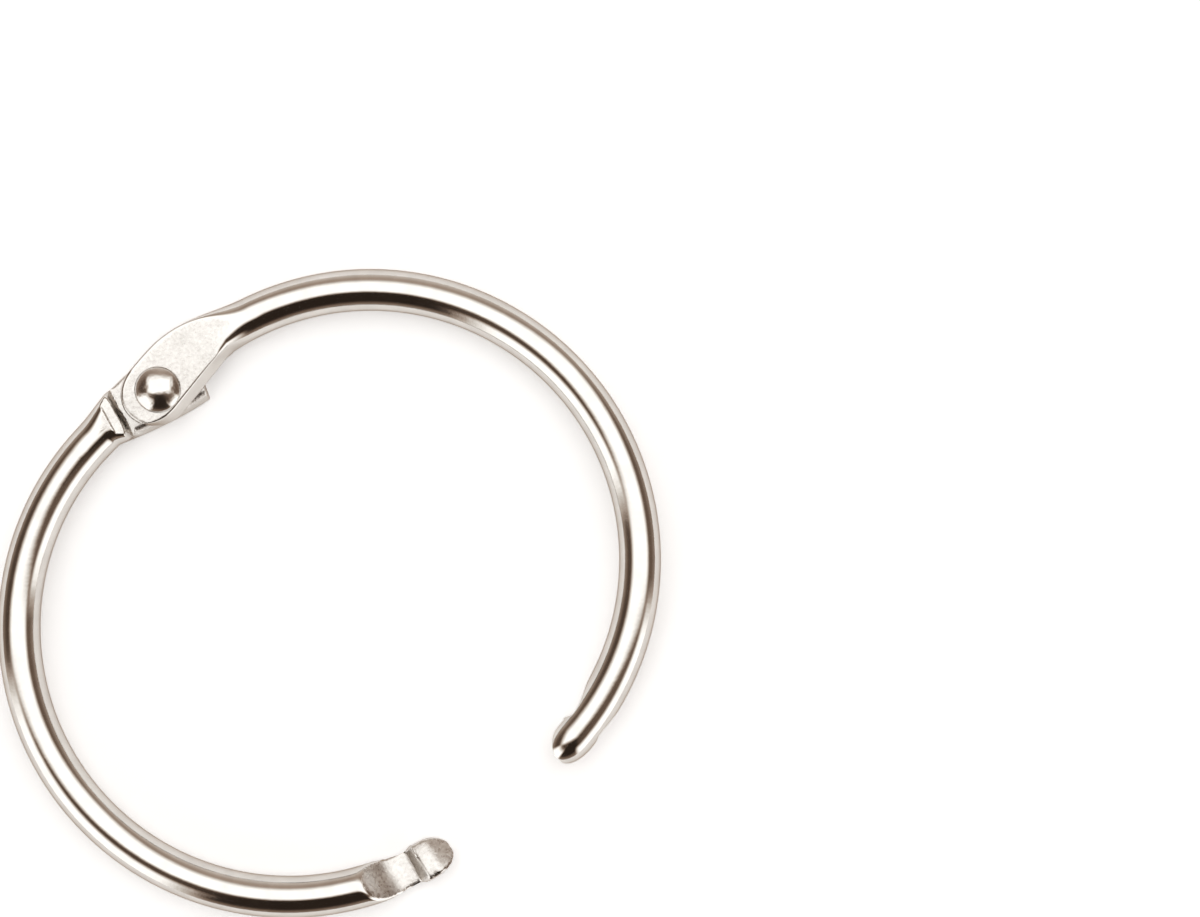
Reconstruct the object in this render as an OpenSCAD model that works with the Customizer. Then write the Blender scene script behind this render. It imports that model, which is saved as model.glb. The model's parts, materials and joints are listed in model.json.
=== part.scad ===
// Hinged binder ring lying flat and partly open: two formed wire halves on one rivet.

/* [Ring] */
// Inside diameter of the closed ring
inside_d = 38; // [30:0.5:76]
// Diameter of the round wire
wire_d = 3.2; // [2.8:0.1:3.6]
// Angle between the halves as the ring lies
open_angle = 22.7; // [8:0.1:60]

/* [Pressed hinge end, upper half] */
// Reach of the pressed flat from the rivet towards the ring's middle
upper_inner_reach = 2.6; // [2.3:0.05:3]
// Reach of the pressed flat from the rivet away from the ring's middle
upper_outer_reach = 2.6; // [2.3:0.05:3]
// Distance from the rivet to the tip of the rounded end
upper_end_reach = 2.95; // [2.6:0.05:3.1]
// Distance along the wire from the rivet to where the wire is round again
upper_flare_length = 9; // [7.5:0.1:11]
// Distance along the wire from the rivet at which the outer edge starts to narrow
upper_flare_start = 2; // [0.5:0.1:3.5]
// Distance from the rivet to the foot of the step under the upper half
upper_step_reach = 5.2; // [4.9:0.1:6.5]

/* [Pressed hinge end, lower half] */
// Reach of the tongue from the rivet towards the ring's middle
lower_inner_reach = 2.6; // [2.3:0.05:3]
// Reach of the tongue from the rivet away from the ring's middle
lower_outer_reach = 2.5; // [2.3:0.05:3]
// Distance from the rivet to the square end of the tongue
lower_end_reach = 3.2; // [2.7:0.05:3.6]
// Distance along the wire from the rivet to where the wire is round again
lower_flare_length = 6.5; // [5.5:0.1:8.5]
// Distance along the wire from the rivet at which the outer edge starts to narrow
lower_flare_start = 0.5; // [0:0.1:2]
// Radius of the bow along the tongue's inner edge
lower_bow = 13.5; // [11:0.5:25]
// Distance from the rivet to the foot of the step on the lower half
lower_step_reach = 3.46; // [3.2:0.02:4.2]

/* [Pressing] */
// How far the metal would swell past the wire's crown if the die did not flatten it
press_swell = 0.25; // [0.1:0.05:0.4]
// Squareness of the pressed section, where 2 is round
press_square = 5; // [3:0.5:7]
// Lean of the step's wall along the wire
step_lean = 0.15; // [0.1:0.05:0.4]
// Height of the step's wall above the middle of the wire
step_h = 1.15; // [0.9:0.05:1.25]
// Length of the lip that runs from the step's wall up to the wire's crown
step_lip = 1; // [0.7:0.05:1.4]
// Gap between the two pressed flats
flat_gap = 0.12; // [0.1:0.01:0.2]

/* [Rivet] */
// Diameter of the rivet's shank
shank_d = 2.2; // [1.6:0.1:2.4]
// Diameter of the domed head
head_d = 3.5; // [3.2:0.05:4.4]
// Height of the domed head
head_h = 0.85; // [0.6:0.05:1.4]
// Largest diameter of the countersunk tail
tail_d = 3.2; // [2.8:0.05:3.6]
// Depth of the tail's cone
tail_depth = 0.5; // [0.3:0.05:0.7]
// Radial clearance of the shank in both halves
pivot_clearance = 0.08; // [0.06:0.01:0.1]
// Gap under the head
head_gap = 0.02; // [0.01:0.01:0.05]
// Gap between the tail and its countersink
tail_gap = 0.08; // [0.06:0.01:0.12]

/* [Hooked tips] */
// Length of the flat on each hook
hook_flat = 2; // [1.6:0.05:2.4]
// Length of the slope that ends each hook and each notch
hook_slope = 2; // [1.6:0.05:2.3]
// Height of the hooks' meeting faces
hook_h = 1.1; // [0.8:0.05:1.3]
// Distance that each tip runs past the meeting faces
hook_reach = 2.95; // [2.7:0.05:3.4]
// Fall of the hooks' flats towards the ring's middle
hook_tilt = 6; // [0:0.5:10]
// Distance from the wire's centre line to the start of the bevel on the hook's inner edge
bevel_start = -0.2; // [-0.4:0.05:0.8]
// Slope of that bevel
bevel_slope = 25; // [20:1:50]
// Gap between the closed hooks
hook_gap = 0.08; // [0.05:0.01:0.12]

/* [Hidden] */

wire_r = wire_d / 2;
ring_r = inside_d / 2 + wire_r;
half_open = open_angle / 2;
shank_r = shank_d / 2;
head_r = head_d / 2;
tail_r = tail_d / 2;
bore_r = shank_r + pivot_clearance;

// The pressed end's skin sits this far inside the wire's skin where the two join
seam_inset = 0.015;
seam_length = 0.3;
// Spacing and number of points of the pressed end's skin
section_step = 0.5;
section_points = 40;
// Cutting solids run this far past what they cut
past = 1;
$fn = 96;

// Height of the wire's centre line, with the wire lying on z = 0
wire_z = wire_r;
flat_top_z = wire_z + wire_r;

// Share from 1 at the start of the flare to 0 at its end, with level ends
function flare(s, start, end) = let (t = min(1, max(0, (s - start) / (end - start)))) 1 - t * t * (3 - 2 * t);

// Sideways reaches of the pressed end at a distance s along the wire from the rivet
skin_r = wire_r - seam_inset;
function outer_w(s, reach, start, end) = skin_r + (reach - wire_r) * flare(s, start, end);
function inner_w(s, reach, bow) = max(skin_r, reach - s * s / (2 * bow));
function deg_along(s) = s / ring_r * 180 / PI;
function power(v, p) = sign(v) * pow(abs(v), p);

// The hinge stands at +Y, so that the whole ring is centred on the origin
function outer_top(s) =
    (ring_r + outer_w(s, upper_outer_reach, upper_flare_start, upper_flare_length))
    * cos(deg_along(s) - half_open);
reach_up = max([for (s = [0 : section_step : upper_flare_length]) outer_top(s)]);
tip_turn = deg_along(hook_reach - wire_r);
reach_down = ring_r * cos(half_open - tip_turn) + wire_r;
hinge_y = ring_r * cos(half_open) + (reach_down - reach_up) / 2;

// One point of the pressed section, at turn a around the section
function skin_point(s, a, inner, outer, swell, square) =
    let (
        side = power(cos(a), 2 / square) * (cos(a) > 0 ? outer : inner),
        up = power(sin(a), 2 / square) * (skin_r + swell),
        along = 90 - deg_along(s)
    )
    [(ring_r + side) * cos(along), (ring_r + side) * sin(along), up];

// Wire end pressed flat and wide, swept along the ring on the +X side of the hinge
module pressed_end(end_reach, inner, outer, bow, start, end) {
    stations = concat([for (s = [-end_reach : section_step : end - section_step / 2]) s], [end, end + seam_length]);
    n = section_points;
    rows = len(stations);
    points = [
        for (s = stations)
            for (k = [0 : n - 1])
                skin_point(
                    s, k * 360 / n,
                    inner_w(s, inner, bow), outer_w(s, outer, start, end),
                    press_swell * flare(s, start, end),
                    2 + (press_square - 2) * flare(s, start, end)
                )
    ];
    sides = [
        for (i = [0 : rows - 2])
            for (k = [0 : n - 1])
                [i * n + k, (i + 1) * n + k, (i + 1) * n + (k + 1) % n, i * n + (k + 1) % n]
    ];
    triangles = [for (f = sides) each [[f[0], f[1], f[2]], [f[0], f[2], f[3]]]];
    first_cap = [for (k = [0 : n - 1]) k];
    last_cap = [for (k = [n - 1 : -1 : 0]) (rows - 1) * n + k];
    intersection() {
        polyhedron(points, concat(triangles, [first_cap, last_cap]));
        translate([-2 * ring_r, -2 * ring_r, -wire_r])
            cube([4 * ring_r, 4 * ring_r, wire_d]);
    }
}

// Round wire from the pressed end to the rounded tip
module wire_arc(flare_end) {
    first = 90 - deg_along(flare_end);
    last = -90 - tip_turn;
    rotate(last)
        rotate_extrude(angle = first - last)
            translate([ring_r, 0])
                circle(wire_r);
    rotate(last)
        translate([ring_r, 0, 0])
            sphere(wire_r);
}

// What the die clears above the mating flat, up to a step across the wire with a sloping lip
module step_cut(step_reach, end_reach) {
    deep = wire_r + past;
    lip_start = step_reach + step_lean;
    lip_end = lip_start + step_lip * (deep - step_h) / (wire_r - step_h);
    translate([0, ring_r, 0])
        rotate([90, 0, 0])
            linear_extrude(height = 4 * wire_d, center = true)
                polygon([
                    [-end_reach - past, -flat_gap / 2],
                    [step_reach, -flat_gap / 2],
                    [lip_start, step_h],
                    [lip_end, deep],
                    [-end_reach - past, deep]
                ]);
}

// What is cleared above a hook that comes from -X, at the bottom of the ring
module hook_cut() {
    half_h = hook_h / 2;
    half_gap = hook_gap / 2;
    slope_rate = (wire_r + half_h) / hook_slope;
    high = wire_r + past;
    run_up = (high + half_h) / slope_rate;
    bevel_z = half_h - half_gap - (wire_r + bevel_start) * tan(hook_tilt);
    translate([0, -ring_r - wire_r, 0])
        rotate([-hook_tilt, 0, 0])
            translate([0, wire_r, 0])
                rotate([90, 0, 0])
                    linear_extrude(height = 4 * wire_d, center = true)
                        polygon([
                            [-hook_flat - half_gap - run_up, high],
                            [-hook_flat - half_gap, -half_h - half_gap],
                            [half_gap, -half_h - half_gap],
                            [half_gap, half_h - half_gap],
                            [hook_flat - half_gap, half_h - half_gap],
                            [hook_flat - half_gap + hook_slope, -wire_r - half_gap],
                            [hook_reach + past, -wire_r - half_gap],
                            [hook_reach + past, high]
                        ]);
    translate([half_gap, -ring_r + bevel_start, bevel_z])
        rotate([-bevel_slope, 0, 0])
            cube([hook_reach + past, 2 * wire_d, 2 * wire_d]);
}

// The same clearance under a hook that comes from +X, as the same die makes it
module hook_cut_below() {
    rotate([0, 180, 0])
        hook_cut();
}

// Moves a half from the closed ring's centre to its place as the ring lies open
module swung(angle) {
    translate([0, hinge_y, wire_z])
        rotate(angle)
            translate([0, -ring_r, 0])
                children();
}

// Upper half: its pressed flat lies on top at the hinge and its hook points down
module upper_half_ring() {
    end_mid = (upper_outer_reach - upper_inner_reach) / 2;
    end_r = (upper_outer_reach + upper_inner_reach) / 2;
    color("gainsboro")
        swung(half_open)
            difference() {
                union() {
                    intersection() {
                        pressed_end(
                            upper_end_reach + past, upper_inner_reach, upper_outer_reach, ring_r,
                            upper_flare_start, upper_flare_length
                        );
                        translate([end_r - upper_end_reach, ring_r + end_mid, -wire_d])
                            union() {
                                cylinder(h = 2 * wire_d, r = end_r);
                                translate([0, -2 * ring_r, 0])
                                    cube([2 * ring_r, 4 * ring_r, 2 * wire_d]);
                            }
                    }
                    wire_arc(upper_flare_length);
                }
                mirror([0, 0, 1])
                    step_cut(upper_step_reach, upper_end_reach);
                translate([0, ring_r, -wire_d])
                    cylinder(h = 2 * wire_d, r = bore_r);
                hook_cut_below();
            }
}

// Lower half: its square tongue lies below at the hinge and its hook points up
module lower_half_ring() {
    color("silver")
        swung(-half_open)
            difference() {
                mirror([1, 0, 0])
                    difference() {
                        union() {
                            pressed_end(
                                lower_end_reach, lower_inner_reach, lower_outer_reach, lower_bow,
                                lower_flare_start, lower_flare_length
                            );
                            wire_arc(lower_flare_length);
                        }
                        step_cut(lower_step_reach, lower_end_reach);
                    }
                translate([0, ring_r, -wire_d])
                    cylinder(h = 2 * wire_d, r = bore_r);
                translate([0, ring_r, -wire_r])
                    countersink();
                hook_cut();
            }
}

// Cone that takes the rivet's tail, with the tail's gap on its slope and its floor
module countersink() {
    rise = tail_depth + tail_gap;
    mouth_r = tail_r + pivot_clearance + tail_gap;
    translate([0, 0, -past])
        cylinder(h = past, r = mouth_r);
    cylinder(h = rise, r1 = mouth_r, r2 = bore_r);
}

// Rivet: domed head, straight shank through both halves and a countersunk tail flush below
module hinge_rivet() {
    head_z = flat_top_z + head_gap;
    dome_r = (head_r * head_r + head_h * head_h) / (2 * head_h);
    color("lightgray")
        translate([0, hinge_y, 0]) {
            rotate_extrude()
                polygon([[0, 0], [tail_r, 0], [shank_r, tail_depth], [shank_r, head_z], [0, head_z]]);
            intersection() {
                translate([0, 0, head_z + head_h - dome_r])
                    sphere(dome_r);
                translate([0, 0, head_z])
                    cylinder(h = head_h + past, r = 2 * head_r);
            }
        }
}

upper_half_ring();
lower_half_ring();
hinge_rivet();
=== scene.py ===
# Hinged binder ring lying open: two formed wire halves on one rivet, nickel plated.
# Metres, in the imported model's frame: the hinge at +Y, the table at z = 0.

import json
import math

import bpy
from mathutils import Matrix, Vector


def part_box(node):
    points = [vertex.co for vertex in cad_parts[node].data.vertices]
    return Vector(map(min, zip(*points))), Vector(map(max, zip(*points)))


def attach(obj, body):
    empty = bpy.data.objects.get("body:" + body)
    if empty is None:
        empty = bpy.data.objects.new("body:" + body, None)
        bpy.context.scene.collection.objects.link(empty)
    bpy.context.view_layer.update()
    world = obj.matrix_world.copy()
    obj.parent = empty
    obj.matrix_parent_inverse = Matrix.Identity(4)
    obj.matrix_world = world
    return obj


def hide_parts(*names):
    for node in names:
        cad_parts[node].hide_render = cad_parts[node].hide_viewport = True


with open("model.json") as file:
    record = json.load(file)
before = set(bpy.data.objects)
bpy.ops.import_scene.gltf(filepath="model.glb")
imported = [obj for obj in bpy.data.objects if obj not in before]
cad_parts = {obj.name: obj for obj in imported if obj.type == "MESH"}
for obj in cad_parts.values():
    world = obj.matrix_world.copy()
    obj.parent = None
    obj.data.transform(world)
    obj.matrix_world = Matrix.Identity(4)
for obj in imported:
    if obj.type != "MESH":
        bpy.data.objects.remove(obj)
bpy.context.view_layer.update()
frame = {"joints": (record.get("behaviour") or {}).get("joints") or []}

# Lower half of the ring
# One length of round steel wire, bent to half a circle. A die presses its hinge end into a thin square
# tongue with a step across the wire, and coins a notch and a hook into the top of its tip.

mm = 0.001
ring_hinge = next(joint for joint in frame["joints"] if joint["name"] == "ring_hinge")
hinge_place = Vector(ring_hinge["pos_m"])
half_open = math.radians(-ring_hinge["range_deg"][0] / 2)
lower_low, lower_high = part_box("lower_half_ring")
upper_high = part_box("upper_half_ring")[1]
wire_r = (lower_high.z - lower_low.z) / 2
ring_r = (upper_high.x - wire_r) / (1 + math.sin(half_open))
mouth = math.pi * ring_r
section_points = 96
bore_sides = 64
wire_smooth = math.radians(40)
merge_distance = 1e-6

# The die's depth at which the bright plate has turned fully satin
satin_depth = 0.06 * mm

# The pressed end: a strip of half the wire's height, and the step where it begins
flat_gap = 0.06 * mm
press_swell = 0.3 * mm
press_room = 1 * mm
soft_edge = 0.05 * mm
strip_middle = -(wire_r + flat_gap) / 2
strip_half = (wire_r - flat_gap) / 2 + press_swell / 4
strip_before, strip_after = 0.4 * mm, 0.5 * mm
under_before, under_after = 1.2 * mm, 2.5 * mm
under_soft = 0.6
top_sharp = 4
step_foot = 0.06 * mm
step_top = 1.36 * mm
lip_length = 0.9 * mm
lip_rise = 0.07 * mm
lip_edge = 0.15 * mm
bore_r = 1.18 * mm

# The hooked tip, measured along the wire from the faces where the two hooks meet
hook_before = 4.8 * mm
notch_floor = 1.0 * mm
notch_curve = 0.228 / mm
root_round = 0.36 * mm
root_taps = 7
hook_rise = 0.55 * mm
hook_gap = 0.04 * mm
hook_lean = 0.2 * mm
hook_flat = 1.2 * mm
hook_turn = 0.45 * mm
hook_slope = 0.78
hook_tilt = math.tan(math.radians(6))
end_tilt = math.tan(math.radians(18))
bevel_slope = math.tan(math.radians(25))
bevel_start = -0.2 * mm
bevel_lift = 3 * mm
bevel_in, bevel_full = -0.1 * mm, 0.25 * mm
corner_sharp = 7
chord_start, chord_end = 1.2 * mm, 2.2 * mm
tip_start = 0.6 * mm
tip_length = 2.6 * mm
tip_blunt = 2.2
tip_left = 0.08 * mm
tip_step = 0.005 * mm

lower = {
    "inner_reach": 2.6 * mm,
    "outer_reach": 2.5 * mm,
    "end_reach": 3.2 * mm,
    "outer_start": 0.5 * mm,
    "outer_end": 6.5 * mm,
    "corner_start": 2.0 * mm,
    "corner_end": 5.5 * mm,
    "bow": 13.5 * mm,
    "step_reach": 3.46 * mm,
    "inner_square": 4,
    "outer_square": 6,
    "draft": 0.6 * mm,
    "back_draft": 0,
    "end_edge": 0.15 * mm,
    "round_end": False,
}


def ease(t):
    t = min(1, max(0, t))
    return t * t * (3 - 2 * t)


def fade(s, start, end):
    return 1 - ease((s - start) / (end - start))


def lay(under, over, mask):
    return under + (over - under) * mask


def power(value, exponent):
    return math.copysign(abs(value) ** exponent, value)


def soft_min(a, b, edge):
    return (a + b - math.hypot(a - b, edge)) / 2


def bent_wire(name, first, stops):
    """Round wire spun along the ring from a first place, to each stop in turn with its own spacing."""
    start = first / ring_r
    bpy.ops.object.select_all(action="DESELECT")
    bpy.ops.mesh.primitive_circle_add(
        vertices=section_points,
        radius=wire_r,
        fill_type="NOTHING",
        location=(-ring_r * math.sin(start), ring_r * math.cos(start), 0),
        rotation=(0, math.pi / 2, start),
    )
    wire = bpy.context.object
    wire.name = name
    bpy.ops.object.transform_apply(location=True, rotation=True, scale=True)
    bpy.ops.object.mode_set(mode="EDIT")
    bpy.ops.mesh.select_all(action="SELECT")
    at = first
    for stop, spacing in stops:
        bpy.ops.mesh.spin(
            steps=max(1, round((stop - at) / spacing)),
            angle=(stop - at) / ring_r,
            center=(0, 0, 0),
            axis=(0, 0, -1),
        )
        at = stop
    bpy.ops.object.mode_set(mode="OBJECT")
    return wire


def hinge_section(half, s, turn, phi):
    """Sideways reach, height and pressed share of one point of the pressed hinge end."""
    out, rise = math.cos(phi), math.sin(phi)
    if out > 0:
        grip = fade(s, half["outer_start"], half["outer_end"])
        reach = lay(wire_r, half["outer_reach"], grip)
        square = half["outer_square"]
    else:
        grip = fade(s, half["corner_start"], half["corner_end"])
        reach = max(wire_r, half["inner_reach"] - s * s / (2 * half["bow"]))
        square = half["inner_square"]
    bend = 2 / (2 + (square - 2) * grip)
    side = power(out, bend) * reach
    up = power(rise, bend) * (wire_r + press_swell * grip)

    strip_side = power(out, 2 / square) * reach
    strip_up = strip_middle + power(rise, 2 / square) * strip_half
    if out < 0:
        low = min(1, max(0, -strip_up / wire_r))
        strip_side -= out * lay(half["draft"], half["back_draft"], low)
    past_step = (ring_r + side) * math.sin(turn) - half["step_reach"]
    below = ease(0.5 - rise / under_soft)
    strip = fade(past_step, -strip_before - under_before * below, strip_after + under_after * below)
    side = lay(side, strip_side, strip)
    up = lay(up, strip_up, strip)

    if past_step < step_foot:
        wall = -flat_gap + max(0, past_step / step_foot) * (step_top + flat_gap)
    elif past_step < lip_length:
        wall = step_top + (past_step - step_foot) / (lip_length - step_foot) * lip_rise
    else:
        wall = min(wire_r, step_top + lip_rise + (past_step - lip_length) / lip_edge * (wire_r - step_top))
    pressed = max(-up - wire_r, up - wall)
    up = -soft_min(-up, wire_r, soft_edge)
    up = soft_min(up, wall, soft_edge)
    return side, up, max(ease(pressed / satin_depth), strip * ease(top_sharp * rise))


def end_shape(half, s, side, up):
    """The same point where the pressed end is rounded or squared off."""
    if half["round_end"]:
        end_r = (half["outer_reach"] + half["inner_reach"]) / 2
        past = end_r - half["end_reach"] - s
        if past <= 0:
            return side, up
        middle = (half["outer_reach"] - half["inner_reach"]) / 2
        side = middle + (side - middle) * math.sqrt(max(0, 1 - (past / end_r) ** 2))
        inside = end_r - math.hypot(past, side - middle)
    else:
        inside = s + half["end_reach"]
    edge = half["end_edge"]
    if inside < edge:
        cut = edge - math.sqrt(max(0, edge**2 - (edge - max(0, inside)) ** 2))
        up = min(max(up, cut - wire_r), -flat_gap - cut)
        if not half["round_end"]:
            side *= 1 - cut / half["inner_reach"]
    return side, up


def hook_line(x):
    """Height of the die over the hook, at a distance past the meeting faces, with rounded roots."""
    low = -hook_rise - hook_gap
    high = hook_rise - hook_gap

    def straight(at):
        if at < -notch_floor:
            deep = -notch_floor - at
            return low + notch_curve * deep * deep
        past = at - hook_flat
        top = high - hook_slope * (past + math.hypot(past, hook_turn)) / 2
        return lay(low, top, ease((at / hook_lean + 1) / 2))

    spread = [root_round * (2 * k / (root_taps - 1) - 1) for k in range(root_taps)]
    return sum(straight(x + shift) for shift in spread) / root_taps


def tip_radius(q):
    past = min(1, max(0, (q - tip_start) / tip_length))
    return wire_r * (1 - past**tip_blunt) ** (1 / tip_blunt)


def hook_section(q, phi):
    """Sideways reach, height and pressed share of one point of the hooked tip."""
    out, rise = math.cos(phi), math.sin(phi)
    radius = tip_radius(q)
    x = q * (1 + radius * out / ring_r * fade(q, chord_start, chord_end))
    cut = hook_line(x) - wire_r * hook_tilt
    tilt = lay(hook_tilt, end_tilt, ease((x - hook_flat) / (2 * hook_turn) + 0.5))
    middle = (min(radius, cut) - radius) / 2
    wire_far = -middle * rise + math.sqrt(max(0, (middle * rise) ** 2 - middle**2 + radius**2))
    bevel_z = hook_rise - hook_gap - (wire_r + bevel_start) * hook_tilt
    bevel = bevel_z + bevel_slope * bevel_start + bevel_lift * fade(x, bevel_in, bevel_full)
    shrink = wire_far**-corner_sharp
    pressed = 0
    for slope, height in ((tilt, cut), (bevel_slope, bevel)):
        toward = rise - slope * out
        if toward > 1e-6:
            far = max(1e-9, height - middle) / toward
            shrink += far**-corner_sharp
            pressed = max(pressed, ease((wire_far - far) / satin_depth))
    far = shrink ** (-1 / corner_sharp)
    return far * out, middle + far * rise, pressed


def press(wire, half):
    """Moves the wire's points to where the dies press them, and marks what the dies touched."""
    least_turn = -1
    shares = []
    for point in wire.data.vertices:
        x, y, z = point.co
        turn = math.atan2(-x, y)
        if turn < least_turn:
            turn += 2 * math.pi
        s = turn * ring_r
        phi = math.atan2(z, math.hypot(x, y) - ring_r)
        if s < half["outer_end"] + press_room:
            side, up, share = hinge_section(half, s, turn, phi)
            side, up = end_shape(half, s, side, up)
        elif s > mouth - hook_before:
            side, up, share = hook_section(s - mouth, phi)
        else:
            side, up, share = math.cos(phi) * wire_r, math.sin(phi) * wire_r, 0
        point.co = (-(ring_r + side) * math.sin(turn), (ring_r + side) * math.cos(turn), up)
        shares.append(share)
    mark = wire.data.attributes.new("pressed", "FLOAT", "POINT")
    mark.data.foreach_set("value", shares)


def close_ends(wire):
    """Closes both ends of the tube and turns its faces outwards."""
    bpy.ops.object.select_all(action="DESELECT")
    wire.select_set(True)
    bpy.context.view_layer.objects.active = wire
    bpy.ops.object.mode_set(mode="EDIT")
    bpy.ops.mesh.select_all(action="SELECT")
    bpy.ops.mesh.remove_doubles(threshold=merge_distance)
    bpy.ops.mesh.select_all(action="DESELECT")
    bpy.ops.mesh.select_non_manifold()
    bpy.ops.mesh.fill_holes(sides=0)
    bpy.ops.mesh.select_all(action="SELECT")
    bpy.ops.mesh.normals_make_consistent(inside=False)
    bpy.ops.object.mode_set(mode="OBJECT")


def turned(name, sides, place, profile):
    """A solid turned about an upright line, ring by ring; a last ring of no radius is a point."""
    at_r, at_z = profile[0]
    bpy.ops.object.select_all(action="DESELECT")
    bpy.ops.mesh.primitive_circle_add(
        vertices=sides, radius=at_r, fill_type="NGON", location=(0, place, at_z)
    )
    solid = bpy.context.object
    solid.name = name
    bpy.ops.object.transform_apply(location=True, rotation=True, scale=True)
    bpy.ops.object.mode_set(mode="EDIT")
    bpy.ops.mesh.select_all(action="SELECT")
    for radius, height in profile[1:]:
        bpy.ops.mesh.extrude_region_move(TRANSFORM_OT_translate={"value": (0, 0, height - at_z)})
        if radius > 0:
            bpy.ops.transform.resize(
                value=(radius / at_r, radius / at_r, 1), center_override=(0, place, height)
            )
        else:
            bpy.ops.mesh.merge(type="CENTER")
        at_r, at_z = radius, height
    bpy.ops.mesh.select_all(action="SELECT")
    bpy.ops.mesh.normals_make_consistent(inside=False)
    bpy.ops.object.mode_set(mode="OBJECT")
    return solid


def drill(wire, profile):
    """Bores the rivet's hole through the pressed end, with a cutter of the given profile."""
    cutter = turned("cutter", bore_sides, ring_r, profile)
    bpy.ops.object.select_all(action="DESELECT")
    wire.select_set(True)
    bpy.context.view_layer.objects.active = wire
    cut = wire.modifiers.new("cut", "BOOLEAN")
    cut.operation = "DIFFERENCE"
    cut.solver = "EXACT"
    cut.object = cutter
    bpy.ops.object.modifier_apply(modifier=cut.name)
    bpy.data.objects.remove(cutter)


def put_in_place(wire, over, swing):
    """Turns a half over if it is the upper one, and swings it open about the rivet."""
    pose = Matrix.Rotation(swing, 3, "Z") @ Matrix.Rotation(over, 3, "Y")
    wire.rotation_euler = pose.to_euler()
    wire.location = hinge_place - pose @ Vector((0, ring_r, 0))
    bpy.ops.object.select_all(action="DESELECT")
    wire.select_set(True)
    bpy.context.view_layer.objects.active = wire
    bpy.ops.object.transform_apply(location=True, rotation=True, scale=True)
    bpy.ops.object.shade_smooth_by_angle(angle=wire_smooth)


tip_end = tip_start
while tip_radius(tip_end) + hook_line(tip_end) - wire_r * hook_tilt > tip_left:
    tip_end += tip_step

# Where each stretch of the wire stops, along the wire from the rivet, and the spacing of its mesh
plain_spacing = 0.36 * mm
bend_spacing = 0.2 * mm
lower_stops = [
    (lower["end_edge"] - lower["end_reach"], 0.025 * mm),  # rolled edge of the tongue
    (2.6 * mm, bend_spacing),  # tongue
    (5.2 * mm, 0.06 * mm),  # step
    (7.2 * mm, bend_spacing),  # shoulder
    (mouth - hook_before, plain_spacing),  # round wire
]
hook_stops = [
    (mouth - 1.6 * mm, 0.08 * mm),  # ramp of the notch
    (mouth - 0.5 * mm, 0.12 * mm),  # floor of the notch
    (mouth + 0.5 * mm, 0.05 * mm),  # face of the hook
    (mouth + 1.5 * mm, 0.1 * mm),  # top of the hook
    (mouth + tip_end - 0.4 * mm, 0.06 * mm),  # slope of the hook
    (mouth + tip_end - 0.15 * mm, 0.035 * mm),  # round of the tip
    (mouth + tip_end, 0.015 * mm),  # end of the tip
]
lower_half = bent_wire("lower_half", -lower["end_reach"], lower_stops + hook_stops)
press(lower_half, lower)
close_ends(lower_half)

# The bore and the countersink below it, cut in one
sink_r = 1.76 * mm
sink_depth = 0.58 * mm
sink_past = 0.2 * mm
sink_spread = (sink_r - bore_r) / sink_depth * sink_past
lower_bore = [
    (sink_r + sink_spread, -wire_r - sink_past),
    (bore_r, -wire_r + sink_depth),
    (bore_r, 2 * wire_r),
]
drill(lower_half, lower_bore)
put_in_place(lower_half, 0, -half_open)


class Shade:
    """One output of a shader node; arithmetic on it adds Math nodes, and node() adds any other node."""

    def __init__(self, tree, socket=None):
        self.tree = tree
        self.socket = socket

    def node(self, kind, settings=None, inputs=None, output=0):
        made = self.tree.nodes.new(kind)
        for name, value in (settings or {}).items():
            if name == "stops":
                ramp = made.color_ramp.elements
                while len(ramp) < len(value):
                    ramp.new(1)
                for stop, (place, colour) in zip(ramp, value):
                    stop.position = place
                    stop.color = colour
            else:
                setattr(made, name, value)
        for name, value in (inputs or {}).items():
            if isinstance(value, Shade):
                self.tree.links.new(value.socket, made.inputs[name])
            else:
                made.inputs[name].default_value = value
        return Shade(self.tree, made.outputs[output] if len(made.outputs) else None)

    def math(self, operation, first, second):
        return self.node("ShaderNodeMath", {"operation": operation}, {0: first, 1: second})

    def __add__(self, other):
        return self.math("ADD", self, other)

    def __radd__(self, other):
        return self.math("ADD", other, self)

    def __sub__(self, other):
        return self.math("SUBTRACT", self, other)

    def __rsub__(self, other):
        return self.math("SUBTRACT", other, self)

    def __mul__(self, other):
        return self.math("MULTIPLY", self, other)

    def __rmul__(self, other):
        return self.math("MULTIPLY", other, self)


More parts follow.
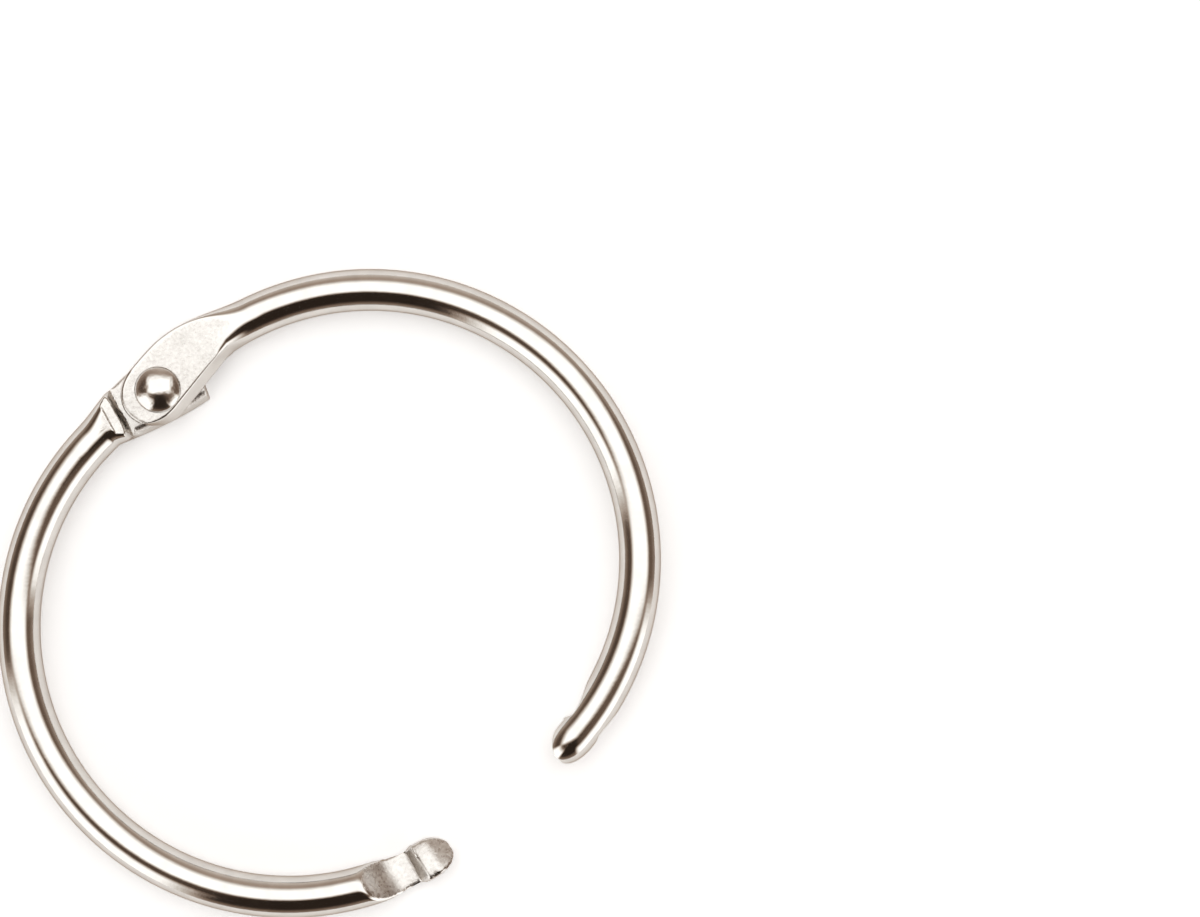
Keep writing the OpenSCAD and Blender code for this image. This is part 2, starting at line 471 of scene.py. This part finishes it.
def nickel(name, bright_roughness, dents):
    """Nickel plate: mirror bright on the drawn wire, satin and speckled where a die pressed it."""
    satin_roughness = 0.3
    cloud_scale, speckle_scale = 700, 4200
    cloud_tone, speckle_tone, least_tone = 0.3, 0.9, 0.35
    cloud_rough, speckle_rough = 0.03, 0.3
    plate_tones = [(0.25, (0.5, 0.477, 0.447, 1)), (0.75, (0.8, 0.775, 0.74, 1))]
    edge_tint = (0.5, 0.42, 0.36, 1)
    grain = 0.05
    bump_share, bump_depth = 0.6, 0.03 * mm

    material = bpy.data.materials.new(name)
    material.use_nodes = True
    tree = material.node_tree
    tree.nodes.clear()
    shade = Shade(tree)
    place = shade.node("ShaderNodeTexCoord", output="Object")
    pressed = shade.node("ShaderNodeAttribute", {"attribute_name": "pressed"}, output="Fac")
    cloud = shade.node(
        "ShaderNodeTexNoise", None, {"Vector": place, "Scale": cloud_scale, "Detail": 3}, "Fac"
    )
    speckle = shade.node(
        "ShaderNodeTexNoise", None, {"Vector": place, "Scale": speckle_scale, "Detail": 4}, "Fac"
    )
    tone = cloud * cloud_tone + (speckle - 0.5) * (pressed * speckle_tone) + least_tone
    colour = shade.node("ShaderNodeValToRGB", {"stops": plate_tones}, {"Fac": tone})
    rough = bright_roughness + (cloud - 0.5) * cloud_rough
    rough = rough + pressed * (satin_roughness - bright_roughness + (speckle - 0.5) * speckle_rough)
    height = speckle * (pressed + grain) + cloud * dents
    bump = shade.node(
        "ShaderNodeBump", None, {"Height": height, "Strength": bump_share, "Distance": bump_depth}
    )
    metal = shade.node(
        "ShaderNodeBsdfPrincipled",
        None,
        {
            "Base Color": colour,
            "Metallic": 1.0,
            "Roughness": rough,
            "Specular Tint": edge_tint,
            "Normal": bump,
        },
    )
    shade.node("ShaderNodeOutputMaterial", None, {"Surface": metal})
    return material


wire_roughness, wire_dents = 0.09, 0.4
lower_half.data.materials.append(nickel("lower_nickel", wire_roughness, wire_dents))
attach(lower_half, "lower_half")
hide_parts("lower_half_ring")

# Upper half of the ring
# The same wire from the same dies, turned over. Its hinge end is pressed flat on top and rounded
# round the rivet, its step and its hook are on the underside.

upper = {
    "inner_reach": 2.6 * mm,
    "outer_reach": 2.6 * mm,
    "end_reach": 2.95 * mm,
    "outer_start": 2.0 * mm,
    "outer_end": 9.0 * mm,
    "corner_start": 4.0 * mm,
    "corner_end": 5.6 * mm,
    "bow": ring_r,
    "step_reach": 5.2 * mm,
    "inner_square": 6,
    "outer_square": 9,
    "draft": 0,
    "back_draft": 0.7 * mm,
    "end_edge": 0.3 * mm,
    "round_end": True,
}

# The round end starts with a narrow face and not a point, so that its mesh closes
round_r = (upper["outer_reach"] + upper["inner_reach"]) / 2
round_steps = 18
first_turn = 0.06
round_turns = [lay(first_turn, math.pi / 2, k / round_steps) for k in range(round_steps + 1)]
round_places = [round_r * (1 - math.cos(turn)) - upper["end_reach"] for turn in round_turns]
upper_stops = [(place, bend_spacing) for place in round_places[1:]]
upper_stops += [
    (3.8 * mm, bend_spacing),  # flat
    (6.6 * mm, 0.07 * mm),  # step
    (9.4 * mm, bend_spacing),  # shoulder
    (mouth - hook_before, plain_spacing),  # round wire
]
upper_half = bent_wire("upper_half", round_places[0], upper_stops + hook_stops)
press(upper_half, upper)
close_ends(upper_half)
drill(upper_half, [(bore_r, -2 * wire_r), (bore_r, 2 * wire_r)])
put_in_place(upper_half, math.pi, half_open)
upper_half.data.materials.append(nickel("upper_nickel", wire_roughness, wire_dents))
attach(upper_half, "upper_half")
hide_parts("upper_half_ring")

# Rivet of the hinge
# One turned steel rivet with a domed head on the upper flat. Its shank runs through both halves, and
# its tail is spread into a countersink under the lower half.

shank_r = 1.1 * mm
tail_r = 1.6 * mm
tail_depth = 0.5 * mm
tail_rim = 0.05 * mm
head_r = 1.75 * mm
head_h = 0.85 * mm
head_gap = 0.02 * mm
head_z = 2 * wire_r + head_gap
head_top = head_z + head_h
rim_h = 0.16 * mm
rim_edge = 0.06 * mm
rim_lean = 0.018 * mm
dome_h = head_h - rim_h
dome_r = (head_r**2 + dome_h**2) / (2 * dome_h)
dome_turn = math.asin(head_r / dome_r)
dome_steps = 16
rivet_sides = 72
rivet_smooth = math.radians(35)
rivet_profile = [
    (tail_r - rim_edge, 0),
    (tail_r, tail_rim),
    (shank_r, tail_depth),
    (shank_r, head_z),
    (head_r - rim_edge, head_z),
    (head_r, head_z + rim_edge),
    (head_r, head_z + rim_h - rim_edge),
    (head_r - rim_lean, head_z + rim_h),
]
for k in range(1, dome_steps):
    turn = dome_turn * (1 - k / dome_steps)
    rivet_profile.append((dome_r * math.sin(turn), head_top - dome_r + dome_r * math.cos(turn)))
rivet_profile.append((0, head_top))
rivet = turned("rivet", rivet_sides, hinge_place.y, rivet_profile)
bpy.ops.object.shade_smooth_by_angle(angle=rivet_smooth)
rivet_roughness, rivet_dents = 0.13, 4
rivet.data.materials.append(nickel("rivet_nickel", rivet_roughness, rivet_dents))
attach(rivet, "rivet")
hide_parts("hinge_rivet")

# Studio
# A pale table inside a light tent: a soft panel overhead, two low ones towards the picture's lower
# corners, and dimmer cloth between them. The camera looks straight down, as in the photograph.

picture_turn = math.radians(39.74)
tent_r = 1.5
bpy.ops.object.select_all(action="DESELECT")
bpy.ops.mesh.primitive_uv_sphere_add(
    segments=120, ring_count=60, radius=tent_r, rotation=(0, 0, -picture_turn)
)
tent = bpy.context.object
tent.name = "light_tent"
tent.visible_camera = False


def between(value, low, low_soft, high, high_soft):
    """1 between two limits, with soft edges of the given half widths."""
    return ease((value - low) / (2 * low_soft) + 0.5) * fade(value, high - high_soft, high + high_soft)


# Brightness of the cloth and of the room below it, then the limits of their parts in degrees, each
# limit with its softness: tilt from straight up, and turn from the picture's lower edge
cloth_left, cloth_right, cloth_far, cloth_near = 0.045, 0.075, 0.25, 0.014
room_side, room_far = 0.2, 0.46
cloth_blend = 60
no_end = (999, 1)
near_turns = (-27, 7, 39, 11)
room_tilts = (79, 17, *no_end)
left_turns, left_tilts = (-75, 7, -27, 6), (45, 11, *no_end)
right_turns, right_tilts = (31, 5, 77, 7), (56, 10, *no_end)
over_rights, over_aheads = (-40, 12, 44, 11), (-10, 7, 46, 12)
glows = []
for point in tent.data.vertices:
    toward = point.co.normalized()
    tilt = math.degrees(math.acos(toward.z))
    turn = math.degrees(math.atan2(toward.x, -toward.y))
    right = tilt * math.sin(math.radians(turn))
    ahead = -tilt * math.cos(math.radians(turn))
    facing = max(0, -math.cos(math.radians(turn)))
    cloth_side = lay(cloth_left, cloth_right, ease(right / cloth_blend + 0.5))
    glow = lay(cloth_side, cloth_far, facing**4)
    glow = lay(glow, cloth_near, between(turn, *near_turns))
    glow = lay(glow, lay(room_side, room_far, facing**2), between(tilt, *room_tilts))
    glow = lay(glow, 1, between(turn, *left_turns) * between(tilt, *left_tilts))
    glow = lay(glow, 1, between(turn, *right_turns) * between(tilt, *right_tilts))
    glow = lay(glow, 1, between(right, *over_rights) * between(ahead, *over_aheads))
    glows.append(glow)
mark = tent.data.attributes.new("glow", "FLOAT", "POINT")
mark.data.foreach_set("value", glows)

tent_light = 1.7
cloth_tones = [
    (0, (0, 0, 0, 1)),
    (0.08, (0.111, 0.076, 0.056, 1)),
    (0.26, (0.312, 0.25, 0.208, 1)),
    (0.46, (0.494, 0.461, 0.425, 1)),
    (1, (1, 1, 1, 1)),
]
tent_cloth = bpy.data.materials.new("tent_cloth")
tent_cloth.use_nodes = True
tent_cloth.cycles.emission_sampling = "NONE"
tent_cloth.node_tree.nodes.clear()
shade = Shade(tent_cloth.node_tree)
glow = shade.node("ShaderNodeAttribute", {"attribute_name": "glow"}, output="Fac")
warmth = shade.node("ShaderNodeValToRGB", {"stops": cloth_tones}, {"Fac": glow})
light = shade.node("ShaderNodeEmission", None, {"Color": warmth, "Strength": tent_light})
shade.node("ShaderNodeOutputMaterial", None, {"Surface": light})
tent.data.materials.append(tent_cloth)

table_white = (0.92, 0.92, 0.92, 1)
table_lift = 0.29
bpy.ops.object.select_all(action="DESELECT")
bpy.ops.mesh.primitive_plane_add(size=4 * tent_r)
table = bpy.context.object
table.name = "table"
table_matt = bpy.data.materials.new("table_white")
table_matt.use_nodes = True
table_matt.node_tree.nodes.clear()
shade = Shade(table_matt.node_tree)
seen = shade.node("ShaderNodeLightPath", output="Is Camera Ray")
seen = seen + shade.node("ShaderNodeLightPath", output="Is Glossy Ray")
seen = seen + shade.node("ShaderNodeLightPath", output="Is Transmission Ray")
lit = shade.node("ShaderNodeBsdfDiffuse", None, {"Color": table_white})
lift = shade.node("ShaderNodeEmission", None, {"Color": seen, "Strength": table_lift})
both = shade.node("ShaderNodeAddShader", None, {0: lit, 1: lift})
shade.node("ShaderNodeOutputMaterial", None, {"Surface": both})
table.data.materials.append(table_matt)

world = bpy.data.worlds.new("room")
world.use_nodes = True
world.node_tree.nodes["Background"].inputs["Color"].default_value = (1, 1, 1, 1)
world.node_tree.nodes["Background"].inputs["Strength"].default_value = 1
bpy.context.scene.world = world

eye_place = (22.47 * mm, -5.82 * mm, 230 * mm)
camera_data = bpy.data.cameras.new("camera")
camera_data.sensor_width = 36
camera_data.lens = 89.67
camera_data.clip_start = 10 * mm
camera = bpy.data.objects.new("camera", camera_data)
camera.location = eye_place
camera.rotation_euler = (0, 0, -picture_turn)
bpy.context.scene.collection.objects.link(camera)
bpy.context.scene.camera = camera
bpy.context.scene.view_settings.view_transform = "Standard"
